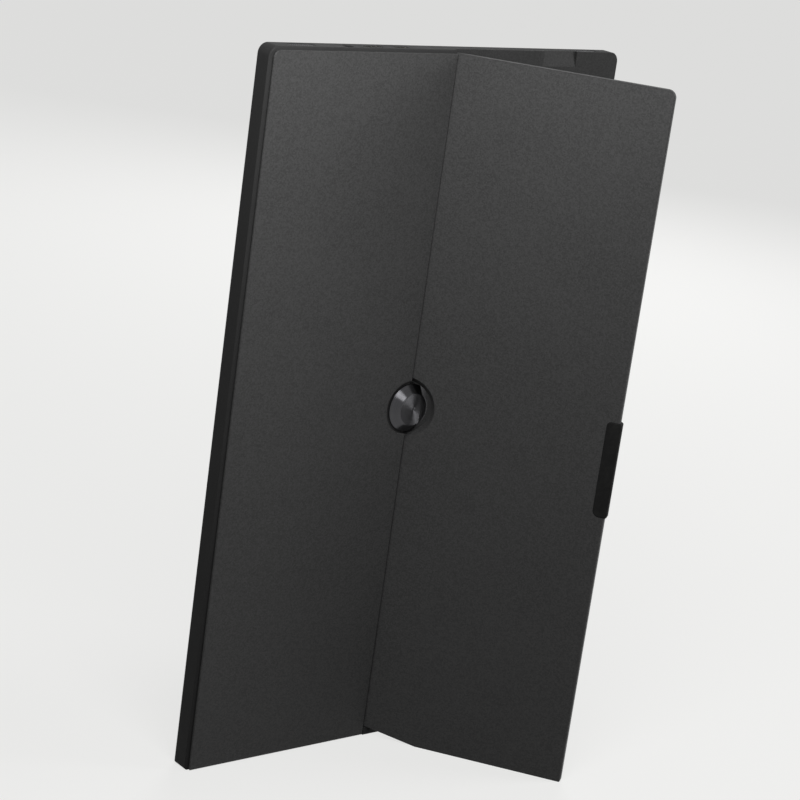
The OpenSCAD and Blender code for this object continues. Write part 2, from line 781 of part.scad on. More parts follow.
module board_screws() {
    y0 = board_y + board_t;
    color(steel) for (p = board_posts) {
        bar_y(p[0], p[1], y_bay + 0.4, y0, board_screw_r);
        bar_y(p[0], p[1], y0, y0 + board_head_h, board_head_r);
    }
}

module usb_c_socket() {
    shell_t = 0.3;
    z1 = body_len - socket_recess;
    z0 = z1 - socket_len;
    color(steel) {
        difference() {
            translate([0, 0, z0]) linear_extrude(socket_len)
                stadium(usb_x, port_y, usb_w, usb_h);
            translate([0, 0, z0 + 1]) linear_extrude(socket_len)
                stadium(usb_x, port_y, usb_w - 2 * shell_t, usb_h - 2 * shell_t);
        }
        box(usb_x - 3.3, usb_x + 3.3, port_y - 0.35, port_y + 0.35, z0 + 1, z1 - 1);
    }
}

// The shape of the small display socket, its wide side towards the board
module hdmi_outline(w, h) {
    step = w * 0.09;
    polygon([[-w / 2, h / 2], [w / 2, h / 2], [w / 2, -h * 0.05], [w / 2 - step, -h / 2],
             [-w / 2 + step, -h / 2], [-w / 2, -h * 0.05]]);
}

module mini_hdmi_socket() {
    shell_t = 0.35;
    y_mid = board_y - hdmi_h / 2;
    z1 = body_len - socket_recess;
    z0 = z1 - socket_len;
    color("#c8c8ca") {
        difference() {
            translate([hdmi_x, y_mid, z0]) linear_extrude(socket_len)
                hdmi_outline(hdmi_w, hdmi_h);
            translate([hdmi_x, y_mid, z0 + 1]) linear_extrude(socket_len)
                hdmi_outline(hdmi_w - 2 * shell_t, hdmi_h - 2 * shell_t);
        }
        box(hdmi_x - 4, hdmi_x + 4, y_mid - 0.1, y_mid + 0.5, z0 + 1, z1 - 1);
    }
}

module audio_jack() {
    z_top = body_len - jack_sink;
    z_box = body_len - wall - 0.1;
    color("#18181a") difference() {
        union() {
            box(jack_x - jack_w / 2, jack_x + jack_w / 2, jack_y - jack_h / 2,
                jack_y + jack_h / 2, body_len - wall - jack_len, z_box);
            bar_z(jack_x, jack_y, z_box - eps, z_top, jack_h / 2);
        }
        bar_z(jack_x, jack_y, body_len - jack_len, body_len + eps, jack_r);
    }
}

module speaker_box() {
    color("#202022") difference() {
        box(speaker_x0, speaker_x1, speaker_y - speaker_h / 2, speaker_y + speaker_h / 2,
            speaker_z0, body_len - wall - 0.1);
        // Mouth of the speaker behind its mesh
        translate([0, 0, body_len - wall - 2]) linear_extrude(3)
            stadium(mesh_x, speaker_y, mesh_len - 2, mouth_h);
    }
}

module speaker_thick_side() {
    speaker_box();
}

module speaker_flap_side() {
    mirror([1, 0, 0]) speaker_box();
}

module speaker_meshes() {
    cols = floor(mesh_len / mesh_pitch / 2);
    rows = floor(mesh_h / mesh_row / 2);
    room = mesh_h / 2 - mesh_hole_r - mesh_edge;
    z0 = body_len - mesh_sink - mesh_t;
    color("#3a3a3c") for (s = [-1, 1]) difference() {
        translate([0, 0, z0]) linear_extrude(mesh_t)
            stadium(s * mesh_x, mesh_y(s), mesh_len, mesh_h);
        for (row = [-rows:rows], k = [-cols:cols]) {
            x = (k + (row % 2 == 0 ? 0 : 0.5)) * mesh_pitch;
            past = max(abs(x) - (mesh_len - mesh_h) / 2, 0);
            if (norm([past, row * mesh_row]) < room)
                bar_z(s * mesh_x + x, mesh_y(s) + row * mesh_row, z0 - eps, z0 + mesh_t + eps,
                      mesh_hole_r);
        }
    }
}

module driver_board() {
    color(board_green) {
        box(button_x - driver_w / 2, button_x + driver_w / 2, y_strip, y_web, driver_z0,
            driver_z1);
        for (k = [0.5:1:4.5]) box(button_x - driver_chip_w / 2, button_x + driver_chip_w / 2,
            y_strip - driver_chip_h, y_strip, driver_z0 + k * driver_pitch,
            driver_z0 + k * driver_pitch + driver_chip);
    }
}

module panel_flexes() {
    x1 = view_x0 - cell_ledge;
    y1 = y_sheets - flex_t;
    color("#8a5a20") for (k = [1.3:2:5.3]) {
        z = driver_z0 + k * driver_pitch;
        box(flex_x0, x1, y1 - flex_t, y1, z - flex_w / 2, z + flex_w / 2);
        box(flex_x0, flex_x0 + flex_t, y1, y_strip, z - flex_w / 2, z + flex_w / 2);
    }
}

module display_ribbon() {
    z0 = ribbon_z - ribbon_w / 2;
    z1 = ribbon_z + ribbon_w / 2;
    color("#8a5a20") {
        box(ribbon_x0, ribbon_x1, y_bay, y_bay + ribbon_t, z0, z1);
        box(ribbon_x0, ribbon_x0 + ribbon_t, y_web, y_bay, z0, z1);
    }
}

module button_board() {
    color(board_green) box(button_x - strip_w / 2, button_x + strip_w / 2, y_strip, y_web,
        power_z - strip_end, menu_z + strip_end);
}

module tact_switches() {
    color(steel) for (z = button_zs) {
        box(button_x - switch_w / 2, button_x + switch_w / 2, y_strip - switch_h, y_strip,
            z - switch_w / 2, z + switch_w / 2);
        bar_y(button_x, z, y_strip - switch_h - plunger_h, y_strip - switch_h, plunger_r);
    }
}

module status_lens() {
    color("#d8e8ff") bar_y(button_x, (power_z + menu_z) / 2, y_front, y_strip, lens_r);
}

module keeper_plates() {
    color(steel) for (z = magnet_zs)
        box(magnet_x - magnet_w / 2, magnet_x + magnet_w / 2, y_cover - keeper_t, y_cover,
            z - magnet_len / 2, z + magnet_len / 2);
}

// Fixed half of a hinge: a plate under the rear panel, a post and a barrel
module hinge_bracket(z) {
    color(steel) difference() {
        union() {
            box(axis_x - post_t / 2, bracket_x1, y_bay, y_bay + bracket_t,
                z - barrel_len / 2, z + barrel_len / 2);
            box(bay_x0, bracket_x1, y_bay, y_bay + bracket_t, z - unit_half, z + unit_half);
            box(axis_x - post_t / 2, axis_x + post_t / 2, y_bay, axis_y,
                z - barrel_len / 2, z + barrel_len / 2);
            bar_z(axis_x, axis_y, z - barrel_len / 2, z + barrel_len / 2, barrel_r);
        }
        bar_z(axis_x, axis_y, z - unit_half, z + unit_half, pin_r + pin_run);
        for (k = [-1, 0, 1]) bar_y(bracket_screw_x, z + k * bracket_screw_dz, y_bay - eps,
            y_bay + bracket_t + eps, bracket_screw_r);
    }
}

module hinge_bracket_upper() {
    hinge_bracket(hinge_zs[1]);
}

module hinge_bracket_lower() {
    hinge_bracket(hinge_zs[0]);
}

module bracket_screws() {
    color(steel) for (z = hinge_zs, k = [-1, 0, 1]) {
        bar_y(bracket_screw_x, z + k * bracket_screw_dz, y_web, y_web + bracket_head_h,
              bracket_head_r);
        bar_y(bracket_screw_x, z + k * bracket_screw_dz, y_web + bracket_head_h,
              y_bay + bracket_t, bracket_screw_r);
    }
}

// Plan of the room inside the flap, kept d away from its edges, the cut-out and the foot
module flap_room(d) {
    difference() {
        translate([flap_x0 + d, d]) square([axis_x - flap_t / 2 - d - flap_x0 - d, flap_top - 2 * d]);
        translate([0, cap_z]) circle(cutout_r + d);
        translate([foot_x0 - 1, foot_z0 - d + 0.4])
            square([foot_w + 1 + d - 0.4, foot_len + 2 * d - 0.8]);
        slant_plan(d);
    }
}

// Plan of the slanted cut at the foot of the hinge edge, grown upwards by d
module slant_plan(d) {
    over = flap_t;
    polygon([[axis_x - slant_len, -eps + (d > 0 ? d : 0)],
             [axis_x + over, slant_rise * (1 + over / slant_len) + d],
             [axis_x + over, -1], [axis_x - slant_len, -1]]);
}

// Plan of the fixed heel that fills the slanted cut, grown by d
module heel_plan(d) {
    slope = slant_rise / slant_len;
    x0 = axis_x - slant_len + heel_gap / slope;
    polygon(concat([[x0 - d, 0], [eps, 0], [eps, slope * (eps - x0) + d]],
        d > 0 ? [[x0 - d, d]] : []));
}

module flap_shell() {
    box_plan = [flap_x0, axis_x, 0, flap_top];
    radii = [0.8, 0, 0, flap_corner];
    color(charcoal) opened() difference() {
        union() {
            slab(y_flap_in, y_back) outline(box_plan, radii);
            bar_z(axis_x, axis_y, 0, flap_top, flap_t / 2);
        }
        edge_bevel(box_plan, radii, y_back, flap_bevel, 1, [0, 0, 1, 1]);
        // Seat of the liner and the room behind it
        slab(y_flap_in - eps, y_flap_in + liner_t) flap_room(liner_inset);
        slab(y_flap_in, y_skin) flap_room(bay_inset);
        // Half-round cut-out for the cap
        bar_y(0, cap_z, y_flap_in - 1, y_back + 1, cutout_r);
        bar_y(0, cap_z, y_back - cutout_bevel, y_back + eps, cutout_r,
              cutout_r + cutout_bevel + eps);
        slab(y_flap_in - 1, y_back + 1) slant_plan(0);
        slab(y_flap_in - 1, y_back + 1) foot_plan();
        for (z = hinge_zs) hinge_room(z);
    }
    color(charcoal) opened() difference() {
        for (z = hinge_zs, k = [-1, 0, 1])
            bar_y(arm_screw_x, z + k * arm_screw_dz, axis_y + arm_t / 2, y_skin + eps, arm_boss_r);
        for (z = hinge_zs, k = [-1, 0, 1])
            bar_y(arm_screw_x, z + k * arm_screw_dz, axis_y, y_skin - 0.1, arm_screw_r);
    }
}

// Room in the flap's round edge for one hinge, and the sweep of the fixed post
module hinge_room(z) {
    reach = flap_t;
    bar_z(axis_x, axis_y, z - cavity_half, z + cavity_half, cavity_r);
    box(axis_x - flap_t / 2 - bay_inset - 0.5, axis_x, axis_y - arm_t / 2 - 0.2,
        axis_y + arm_t / 2 + 0.2, z - unit_half - 0.2, z + unit_half + 0.2);
    translate([axis_x, axis_y, z - barrel_len / 2 - 0.2]) linear_extrude(barrel_len + 0.4)
        polygon(concat([[0, 0]], [for (a = [sweep_low:26:sweep_high])
            [reach * cos(a), reach * sin(a)]]));
}

module foot_plan() {
    outline([foot_x0, foot_x1, foot_z0, foot_z1], foot_radii);
}

module flap_liner() {
    color(moulded) opened() slab(y_flap_in, y_flap_in + liner_t) flap_room(liner_inset);
}

module flap_foot() {
    face = y_back + foot_face;
    color(rubber_black) opened() difference() {
        slab(y_flap_in, face) foot_plan();
        edge_bevel([foot_x0, foot_x1, foot_z0, foot_z1], foot_radii, face, 0.5, 1);
        edge_bevel([foot_x0, foot_x1, foot_z0, foot_z1], foot_radii, y_flap_in, 0.5, -1,
            [0, 0, 0, 1]);
    }
}

module flap_magnets() {
    color(steel) opened() for (z = magnet_zs)
        box(magnet_x - magnet_w / 2, magnet_x + magnet_w / 2, y_skin - magnet_t, y_skin,
            z - magnet_len / 2, z + magnet_len / 2);
}

// Moving half of a hinge: two knuckles and the plate screwed inside the flap
module hinge_arm(z) {
    inner = barrel_len / 2 + knuckle_gap;
    color(steel) opened() difference() {
        union() {
            box(arm_x0, axis_x, axis_y - arm_t / 2, axis_y + arm_t / 2,
                z - unit_half, z + unit_half);
            for (s = [0, 1]) bar_z(axis_x, axis_y, z - unit_half + s * (inner + unit_half),
                z - inner + s * (inner + unit_half), barrel_r);
        }
        // Room for the fixed barrel between the knuckles
        box(axis_x - cavity_r, axis_x + 1, axis_y - 1, axis_y + 1, z - inner, z + inner);
        bar_z(axis_x, axis_y, z - unit_half - 1, z + unit_half + 1, pin_r);
        for (k = [-1, 0, 1]) bar_y(arm_screw_x, z + k * arm_screw_dz, axis_y - arm_t,
            axis_y + arm_t, arm_screw_r);
    }
}

module hinge_arm_upper() {
    hinge_arm(hinge_zs[1]);
}

module hinge_arm_lower() {
    hinge_arm(hinge_zs[0]);
}

module hinge_pin(z) {
    color(steel) opened()
        bar_z(axis_x, axis_y, z - unit_half - pin_end, z + unit_half + pin_end, pin_r);
}

module hinge_pin_upper() {
    hinge_pin(hinge_zs[1]);
}

module hinge_pin_lower() {
    hinge_pin(hinge_zs[0]);
}

module arm_screws() {
    color(steel) opened() for (z = hinge_zs, k = [-1, 0, 1]) {
        bar_y(arm_screw_x, z + k * arm_screw_dz, axis_y - arm_t / 2, y_skin - 0.1,
              arm_screw_r);
        bar_y(arm_screw_x, z + k * arm_screw_dz, axis_y - arm_t / 2 - arm_head_h,
              axis_y - arm_t / 2, arm_head_r);
    }
}

// A button: its face in the bezel, a flange behind it and a stem over its switch
module button(z) {
    stem_end = y_strip - switch_h - plunger_h - button_travel - 0.1;
    color(moulded) {
        slab(y_front - button_proud, y_cell) pill(button_x, z, button_w, button_len);
        slab(y_cell, y_cell + flange_t)
            pill(button_x, z, button_w + 2 * flange_lap, button_len + 2 * flange_lap);
        bar_y(button_x, z, y_cell + flange_t, stem_end, stem_r);
    }
}

module power_button() {
    button(power_z);
}

module menu_button() {
    button(menu_z);
}

chassis();
front_bezel();
lcd_cell();
diffuser_sheets();
light_guide();
led_bar();
backlight_tray();
rear_panel();
recess_cover();
hinge_cap();
cap_seat();
cap_screw();
main_board();
board_chips();
shield_can();
board_connector();
board_screws();
usb_c_socket();
mini_hdmi_socket();
audio_jack();
speaker_thick_side();
speaker_flap_side();
speaker_meshes();
driver_board();
panel_flexes();
display_ribbon();
button_board();
tact_switches();
status_lens();
keeper_plates();
hinge_bracket_upper();
hinge_bracket_lower();
bracket_screws();
flap_shell();
flap_liner();
flap_foot();
flap_magnets();
hinge_arm_upper();
hinge_arm_lower();
hinge_pin_upper();
hinge_pin_lower();
arm_screws();
power_button();
menu_button();
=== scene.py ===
import math

import bmesh
import bpy
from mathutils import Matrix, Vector


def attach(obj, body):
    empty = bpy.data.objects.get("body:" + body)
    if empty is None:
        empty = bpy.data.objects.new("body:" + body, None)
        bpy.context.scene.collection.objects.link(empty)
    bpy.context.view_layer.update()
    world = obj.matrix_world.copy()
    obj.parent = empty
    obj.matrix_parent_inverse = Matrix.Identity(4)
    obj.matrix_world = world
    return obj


# A portable monitor standing on its short edge, seen from behind with its flap open.
# Lengths are in metres unless a comment says millimetres: X across, Y from the screen to
# the back, Z up.

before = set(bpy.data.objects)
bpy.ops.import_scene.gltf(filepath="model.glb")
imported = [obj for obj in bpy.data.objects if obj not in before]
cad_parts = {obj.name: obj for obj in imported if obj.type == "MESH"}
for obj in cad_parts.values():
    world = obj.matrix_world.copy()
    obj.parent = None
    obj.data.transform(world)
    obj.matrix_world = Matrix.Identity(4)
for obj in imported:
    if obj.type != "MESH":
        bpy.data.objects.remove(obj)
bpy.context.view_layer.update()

MM = 0.001

# Places on the solids: the height of the cap's middle and of the sockets' open end, how far
# back the recess floor lies, and the sockets' middles as X and Y
CAP_HEIGHT = 0.180
SOCKET_END = 0.360
RECESS_LEVEL = 0.0017
DATA_SOCKET_PLACE = (0.0315, 0.0002)
DISPLAY_SOCKET_PLACE = (0.0485, 0.0)
SOUND_SOCKET_PLACE = (0.0635, 0.0007)

# Millimetres, as the materials read them: the picture's middle, its half width and half
# height, and the printed border inside its edge
PICTURE_MIDDLE = (5.3, 0, 180)
PICTURE_HALF = (96.8, 172.1)
BORDER = 1.6

# Millimetres too: where fingers have polished each painted surface
PANEL_GRIP = (100, 6, 60)
FLAP_GRIP = (-58, 92, 300)
RECESS_GRIP = (-70, 2, 352)

# Corners nearer than this to a flat end count as lying on it
NEAR = 0.01 * MM
# Corners nearer than this to each other are merged
SAME_POINT = 0.001 * MM
# Edges that turn more than this stay sharp
SHARP_FROM = math.radians(35)


def linear(hex_colour):
    """Turns an sRGB hex colour into the linear colour that a shader socket takes."""
    channels = [int(hex_colour[i:i + 2], 16) / 255 for i in (1, 3, 5)]
    return tuple(c / 12.92 if c <= 0.04045 else ((c + 0.055) / 1.055) ** 2.4
                 for c in channels) + (1.0,)


def add_node(tree, kind, settings=None, inputs=None):
    """Adds a shader node; an input is either a constant or another node's socket."""
    node = tree.nodes.new(kind)
    for name, value in (settings or {}).items():
        setattr(node, name, value)
    for name, value in (inputs or {}).items():
        if isinstance(value, bpy.types.NodeSocket):
            tree.links.new(value, node.inputs[name])
        else:
            node.inputs[name].default_value = value
    return node


def new_material(name):
    """An empty material, its node tree, and a point in millimetres on the piece."""
    material = bpy.data.materials.new(name)
    material.use_nodes = True
    tree = material.node_tree
    tree.nodes.clear()
    place = add_node(tree, "ShaderNodeTexCoord").outputs["Object"]
    in_mm = add_node(tree, "ShaderNodeVectorMath", {"operation": "SCALE"},
                     {0: place, "Scale": 1 / MM}).outputs[0]
    return material, tree, in_mm


def finish_surface(material, tree, settings):
    """Gives the material a surface with these settings."""
    surface = add_node(tree, "ShaderNodeBsdfPrincipled", None, settings)
    add_node(tree, "ShaderNodeOutputMaterial", None, {"Surface": surface.outputs[0]})
    return material


# Materials

def charcoal_paint(name, base, flake, handled_at):
    """Charcoal metallic paint sprayed on moulded ABS: a satin skin with a fine glitter, a
    faint orange peel, and a slightly shinier patch where fingers open the flap."""
    material, tree, point = new_material(name)
    # Flakes are 0.1 to 0.2 mm on the real paint, drawn 0.65 mm wide so that they show
    flakes = add_node(tree, "ShaderNodeTexVoronoi", None, {
        "Vector": point, "Scale": 1 / 0.65})
    tint = add_node(tree, "ShaderNodeSeparateColor", None, {0: flakes.outputs["Color"]})
    glitter = add_node(tree, "ShaderNodeMapRange", None, {
        "Value": tint.outputs[0], "From Min": 0.0, "From Max": 1.0,
        "To Min": 0.0, "To Max": 0.5}).outputs[0]
    sprayed = add_node(tree, "ShaderNodeMix", {"data_type": "RGBA"}, {
        0: glitter, 6: linear(base), 7: linear(flake)}).outputs[2]
    # Uneven film thickness, about 30 mm across
    film = add_node(tree, "ShaderNodeTexNoise", None, {
        "Vector": point, "Scale": 1 / 30, "Detail": 3.0}).outputs[0]
    film_share = add_node(tree, "ShaderNodeMapRange", None, {
        "Value": film, "From Min": 0.3, "From Max": 0.7,
        "To Min": 0.0, "To Max": 0.1}).outputs[0]
    colour = add_node(tree, "ShaderNodeMix", {"data_type": "RGBA"}, {
        0: film_share, 6: sprayed, 7: linear(flake)}).outputs[2]
    # Handling has polished the paint most within 8 mm of one place, and not past 45 mm
    away = add_node(tree, "ShaderNodeVectorMath", {"operation": "DISTANCE"},
                    {0: point, 1: handled_at}).outputs["Value"]
    polish = add_node(tree, "ShaderNodeMapRange", None, {
        "Value": away, "From Min": 8.0, "From Max": 45.0,
        "To Min": -0.05, "To Max": 0.0}).outputs[0]
    # Wiped smears, some 7 mm across
    smear = add_node(tree, "ShaderNodeTexNoise", None, {
        "Vector": point, "Scale": 1 / 7, "Detail": 4.0, "Distortion": 0.6}).outputs[0]
    rough = add_node(tree, "ShaderNodeMapRange", None, {
        "Value": smear, "From Min": 0.3, "From Max": 0.7,
        "To Min": 0.46, "To Max": 0.52}).outputs[0]
    worn_rough = add_node(tree, "ShaderNodeMath", {"operation": "ADD"},
                          {0: rough, 1: polish}).outputs[0]
    # Orange peel, 1.4 mm from hump to hump, with the flakes standing a little proud
    peel = add_node(tree, "ShaderNodeTexNoise", None, {
        "Vector": point, "Scale": 1 / 1.4, "Detail": 2.0}).outputs[0]
    height = add_node(tree, "ShaderNodeMath", {"operation": "MULTIPLY_ADD"},
                      {0: tint.outputs[1], 1: 0.35, 2: peel}).outputs[0]
    skin = add_node(tree, "ShaderNodeBump", None, {
        "Strength": 0.5, "Distance": 0.015 * MM, "Height": height}).outputs[0]
    # The specular level is low, or the pale backdrop would veil the dark paint
    return finish_surface(material, tree, {
        "Base Color": colour, "Roughness": worn_rough, "Metallic": 0.2, "IOR": 1.5,
        "Specular IOR Level": 0.1, "Normal": skin})


def moulded_abs(name, base, light, grain_mm=0.6, rough=(0.5, 0.6)):
    """Spark-eroded ABS: a dull, slightly pebbled dark plastic, rubbed a little smoother in
    patches. Epoxy packages are moulded the same way."""
    material, tree, point = new_material(name)
    # The eroded grain is under 0.1 mm on the real plastic, drawn coarser so that it shows
    grain = add_node(tree, "ShaderNodeTexNoise", None, {
        "Vector": point, "Scale": 1 / grain_mm, "Detail": 3.0, "Roughness": 0.6}).outputs[0]
    # Dust and handling, in clouds about 25 mm across
    cloud = add_node(tree, "ShaderNodeTexNoise", None, {
        "Vector": point, "Scale": 1 / 25, "Detail": 3.0}).outputs[0]
    pebble = add_node(tree, "ShaderNodeMapRange", None, {
        "Value": grain, "From Min": 0.35, "From Max": 0.7,
        "To Min": 0.0, "To Max": 0.5}).outputs[0]
    pebbled = add_node(tree, "ShaderNodeMix", {"data_type": "RGBA"}, {
        0: pebble, 6: linear(base), 7: linear(light)}).outputs[2]
    dust = add_node(tree, "ShaderNodeMapRange", None, {
        "Value": cloud, "From Min": 0.35, "From Max": 0.65,
        "To Min": 0.0, "To Max": 0.2}).outputs[0]
    colour = add_node(tree, "ShaderNodeMix", {"data_type": "RGBA"}, {
        0: dust, 6: pebbled, 7: linear(light)}).outputs[2]
    gloss = add_node(tree, "ShaderNodeMapRange", None, {
        "Value": cloud, "From Min": 0.3, "From Max": 0.7,
        "To Min": rough[0], "To Max": rough[1]}).outputs[0]
    skin = add_node(tree, "ShaderNodeBump", None, {
        "Strength": 0.6, "Distance": 0.025 * MM, "Height": grain}).outputs[0]
    return finish_surface(material, tree, {
        "Base Color": colour, "IOR": 1.52, "Specular IOR Level": 0.05, "Roughness": gloss,
        "Normal": skin})


def silicone_rubber():
    """Moulded silicone rubber: near black, no gloss, with a dusty bloom in patches."""
    material, tree, point = new_material("silicone_rubber_moulded")
    # The blasted mould's grain is 0.1 mm on the real rubber, drawn 0.35 mm so that it shows
    grain = add_node(tree, "ShaderNodeTexNoise", None, {
        "Vector": point, "Scale": 1 / 0.35, "Detail": 2.0}).outputs[0]
    # Bloom and dust, in patches about 4 mm across
    bloom = add_node(tree, "ShaderNodeTexNoise", None, {
        "Vector": point, "Scale": 1 / 4, "Detail": 4.0, "Roughness": 0.6}).outputs[0]
    dusty = add_node(tree, "ShaderNodeMapRange", None, {
        "Value": bloom, "From Min": 0.42, "From Max": 0.75,
        "To Min": 0.0, "To Max": 0.6}).outputs[0]
    colour = add_node(tree, "ShaderNodeMix", {"data_type": "RGBA"}, {
        0: dusty, 6: linear("#202020"), 7: linear("#323231")}).outputs[2]
    gloss = add_node(tree, "ShaderNodeMapRange", None, {
        "Value": bloom, "From Min": 0.3, "From Max": 0.7,
        "To Min": 0.7, "To Max": 0.84}).outputs[0]
    skin = add_node(tree, "ShaderNodeBump", None, {
        "Strength": 0.5, "Distance": 0.03 * MM, "Height": grain}).outputs[0]
    return finish_surface(material, tree, {
        "Base Color": colour, "IOR": 1.43, "Specular IOR Level": 0.1, "Sheen Weight": 0.03,
        "Sheen Roughness": 0.5, "Roughness": gloss, "Normal": skin})


def spun_aluminium():
    """Grey anodised aluminium turned on a lathe: its fine rings draw the light out into a
    bow tie on the flat top and a streak on the cone."""
    material, tree, point = new_material("anodised_aluminium_spun")
    # The rings run round the cap's axis, which points along Y, and their gloss is drawn out
    # along the line that leads straight away from it
    across = add_node(tree, "ShaderNodeVectorMath", {"operation": "SUBTRACT"},
                      {0: point, 1: (0, 0, CAP_HEIGHT / MM)}).outputs[0]
    around = add_node(tree, "ShaderNodeVectorMath", {"operation": "CROSS_PRODUCT"},
                      {0: (0, 1, 0), 1: across}).outputs[0]
    outwards = add_node(tree, "ShaderNodeVectorMath", {"operation": "CROSS_PRODUCT"},
                        {0: around, 1: (0, 1, 0)}).outputs[0]
    along = add_node(tree, "ShaderNodeVectorMath", {"operation": "NORMALIZE"},
                     {0: outwards}).outputs[0]
    radius = add_node(tree, "ShaderNodeVectorMath", {"operation": "LENGTH"},
                      {0: around}).outputs["Value"]
    # Turning marks are 0.1 mm apart, drawn 0.3 mm apart so that they show
    rings = add_node(tree, "ShaderNodeTexNoise", {"noise_dimensions": "1D"},
                     {"W": radius, "Scale": 1 / 0.3, "Detail": 3.0}).outputs[0]
    ring_share = add_node(tree, "ShaderNodeMapRange", None, {
        "Value": rings, "From Min": 0.35, "From Max": 0.65,
        "To Min": 0.2, "To Max": 0.7}).outputs[0]
    colour = add_node(tree, "ShaderNodeMix", {"data_type": "RGBA"}, {
        0: ring_share, 6: linear("#3c3c3e"), 7: linear("#565658")}).outputs[2]
    gloss = add_node(tree, "ShaderNodeMapRange", None, {
        "Value": rings, "From Min": 0.3, "From Max": 0.7,
        "To Min": 0.2, "To Max": 0.24}).outputs[0]
    grooves = add_node(tree, "ShaderNodeBump", None, {
        "Strength": 0.1, "Distance": 0.01 * MM, "Height": rings}).outputs[0]
    return finish_surface(material, tree, {
        "Base Color": colour, "Metallic": 1.0, "Tangent": along, "Anisotropic": 0.9,
        "Roughness": gloss, "Normal": grooves})


def rolled_metal(name, base, light, rough, grain_mm=(0.15, 6.0)):
    """Rolled or turned metal: short streaks in one direction under a faint stain."""
    material, tree, point = new_material(name)
    # Rolling marks are a few hundredths of a millimetre wide, drawn wider so that they show
    streaked = add_node(tree, "ShaderNodeMapping", None, {
        "Vector": point, "Scale": (1 / grain_mm[0], 1 / grain_mm[0], 1 / grain_mm[1])})
    streaks = add_node(tree, "ShaderNodeTexNoise", None, {
        "Vector": streaked.outputs[0], "Scale": 1.0, "Detail": 3.0}).outputs[0]
    # Stains, about 5 mm across
    stain = add_node(tree, "ShaderNodeTexNoise", None, {
        "Vector": point, "Scale": 1 / 5, "Detail": 3.0}).outputs[0]
    colour = add_node(tree, "ShaderNodeMix", {"data_type": "RGBA"}, {
        0: streaks, 6: linear(base), 7: linear(light)}).outputs[2]
    gloss = add_node(tree, "ShaderNodeMapRange", None, {
        "Value": stain, "From Min": 0.3, "From Max": 0.7,
        "To Min": rough - 0.06, "To Max": rough + 0.06}).outputs[0]
    skin = add_node(tree, "ShaderNodeBump", None, {
        "Strength": 0.4, "Distance": 0.01 * MM, "Height": streaks}).outputs[0]
    return finish_surface(material, tree, {
        "Base Color": colour, "Metallic": 1.0, "Roughness": gloss, "Normal": skin})


def screen_glass():
    """Anti-glare coated glass over a dark panel: near black, its fine frost turning
    reflections soft and grey, with a printed black border."""
    material, tree, point = new_material("anti_glare_glass_coated")
    centred = add_node(tree, "ShaderNodeVectorMath", {"operation": "SUBTRACT"},
                       {0: point, 1: PICTURE_MIDDLE}).outputs[0]
    sides = add_node(tree, "ShaderNodeVectorMath", {"operation": "ABSOLUTE"},
                     {0: centred}).outputs[0]
    part = add_node(tree, "ShaderNodeSeparateXYZ", None, {0: sides})
    past_x = add_node(tree, "ShaderNodeMath", {"operation": "GREATER_THAN"},
                      {0: part.outputs[0], 1: PICTURE_HALF[0] - BORDER}).outputs[0]
    past_z = add_node(tree, "ShaderNodeMath", {"operation": "GREATER_THAN"},
                      {0: part.outputs[2], 1: PICTURE_HALF[1] - BORDER}).outputs[0]
    border = add_node(tree, "ShaderNodeMath", {"operation": "MAXIMUM"},
                      {0: past_x, 1: past_z}).outputs[0]
    # The coating's frost is some 0.02 mm, drawn 0.3 mm so that it shows
    frost = add_node(tree, "ShaderNodeTexNoise", None, {
        "Vector": point, "Scale": 1 / 0.3, "Detail": 2.0}).outputs[0]
    # Wiping has left a film, in clouds about 60 mm across
    film = add_node(tree, "ShaderNodeTexNoise", None, {
        "Vector": point, "Scale": 1 / 60, "Detail": 2.0}).outputs[0]
    glass = add_node(tree, "ShaderNodeMix", {"data_type": "RGBA"}, {
        0: film, 6: linear("#101216"), 7: linear("#15171b")}).outputs[2]
    colour = add_node(tree, "ShaderNodeMix", {"data_type": "RGBA"}, {
        0: border, 6: glass, 7: linear("#060607")}).outputs[2]
    gloss = add_node(tree, "ShaderNodeMapRange", None, {
        "Value": film, "From Min": 0.3, "From Max": 0.7,
        "To Min": 0.24, "To Max": 0.3}).outputs[0]
    skin = add_node(tree, "ShaderNodeBump", None, {
        "Strength": 0.5, "Distance": 0.006 * MM, "Height": frost}).outputs[0]
    return finish_surface(material, tree, {
        "Base Color": colour, "IOR": 1.5, "Roughness": gloss, "Normal": skin})


def masked_board():
    """Glass fibre board under a green solder mask: woven ripple, tracks under the mask and
    a soft gloss."""
    material, tree, point = new_material("fibreglass_board_masked")
    # The cloth's threads are 0.5 mm apart and the tracks 0.2 mm wide on a real board, drawn
    # 1.2 mm and 0.8 mm so that they show
    weave = add_node(tree, "ShaderNodeTexWave", None, {
        "Vector": point, "Scale": 1 / 1.2, "Distortion": 1.5, "Detail": 1.0}).outputs[1]
    stretched = add_node(tree, "ShaderNodeMapping", None, {
        "Vector": point, "Scale": (1 / 0.8, 1 / 0.8, 1 / 6)}).outputs[0]
    tracks = add_node(tree, "ShaderNodeTexNoise", None, {
        "Vector": stretched, "Scale": 1.0, "Detail": 1.0}).outputs[0]
    track_share = add_node(tree, "ShaderNodeMapRange", None, {
        "Value": tracks, "From Min": 0.48, "From Max": 0.52,
        "To Min": 0.0, "To Max": 1.0}).outputs[0]
    colour = add_node(tree, "ShaderNodeMix", {"data_type": "RGBA"}, {
        0: track_share, 6: linear("#14301f"), 7: linear("#1d472e")}).outputs[2]
    skin = add_node(tree, "ShaderNodeBump", None, {
        "Strength": 0.3, "Distance": 0.02 * MM, "Height": weave}).outputs[0]
    return finish_surface(material, tree, {
        "Base Color": colour, "IOR": 1.52, "Roughness": 0.32, "Normal": skin})


